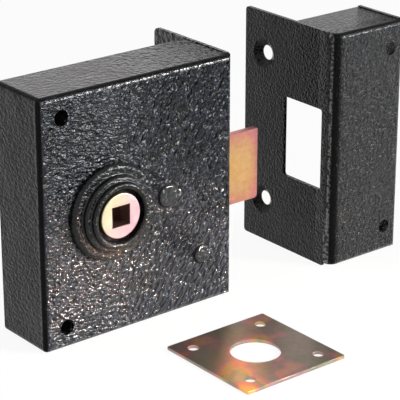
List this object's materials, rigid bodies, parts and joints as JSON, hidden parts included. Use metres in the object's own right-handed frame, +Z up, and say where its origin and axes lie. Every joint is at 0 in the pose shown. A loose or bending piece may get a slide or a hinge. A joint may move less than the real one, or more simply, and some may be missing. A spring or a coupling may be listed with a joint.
{
  "type": "rim box lock",
  "caption": "Rim box lock: folded steel case with a stepped collar, a square-hole follower that draws a flat bolt, a box keep and a square escutcheon plate.",
  "frame": {"origin": "on the follower's axis, in the mounting face at the back of the lock case", "axes": "+X is the way the bolt is thrown, +Z is up, and the front face looks along -Y"},
  "size_m": [0.1755, 0.1198, 0.101],
  "materials": {
    "case_paint": "black hammered paint, glossy",
    "collar_paint": "smooth glossy black paint",
    "keep_paint": "black hammered paint, finer",
    "post_paint": "black hammered paint over a steel head",
    "cover_zinc": "zinc-plated sheet, dull",
    "screw_zinc": "zinc-plated",
    "bush_iron": "dark sintered iron",
    "inner_steel": "plain oiled steel",
    "inner_brass": "plain turned brass",
    "spring_steel": "blued spring steel",
    "follower_zinc": "zinc-plated with a pale iridescent passivation",
    "bolt_zinc": "zinc-plated with an iridescent passivation",
    "plate_zinc": "zinc-plated with an iridescent passivation"
  },
  "bodies": {
    "lock_case": {"case_shell": "case_paint", "back_plate": "cover_zinc", "collar": "collar_paint", "collar_lock_ring": "inner_steel", "front_bush": "bush_iron", "rear_bush": "bush_iron", "guide_post": "post_paint", "guide_bush": "inner_brass", "guide_washer": "inner_steel", "guide_circlip": "spring_steel", "spring_post": "post_paint", "friction_spring": "spring_steel", "bolt_guide": "inner_steel", "follower_stops": "inner_steel", "fixing_sleeves": "inner_steel", "back_plate_screws": "screw_zinc"},
    "follower": {"follower": "follower_zinc", "drive_pin": "inner_steel", "thrust_washer": "inner_brass"},
    "bolt": {"bolt": "bolt_zinc"},
    "keep": {"keep_shell": "keep_paint"},
    "escutcheon": {"escutcheon_plate": "plate_zinc"}
  },
  "joints": [
    {"name": "follower_turn", "type": "hinge", "parent": "lock_case", "child": "follower", "pos_m": [0, 0, 0], "axis": [0, 1, 0], "range_deg": [0, 80]},
    {"name": "bolt_throw", "type": "slide", "parent": "lock_case", "child": "bolt", "axis": [1, 0, 0], "range_m": [-0.021, 0]},
    {"name": "keep_slide", "type": "slide", "parent": "lock_case", "child": "keep", "axis": [1, 0, 0], "range_m": [-0.044, 0]},
    {"name": "escutcheon_lift", "type": "slide", "parent": "lock_case", "child": "escutcheon", "axis": [0, 0, 1], "range_m": [0, 0.06]}
  ],
  "couplings": [
    {"joint": "bolt_throw", "follows": "follower_turn", "m_per_rad": -0.01504}
  ]
}
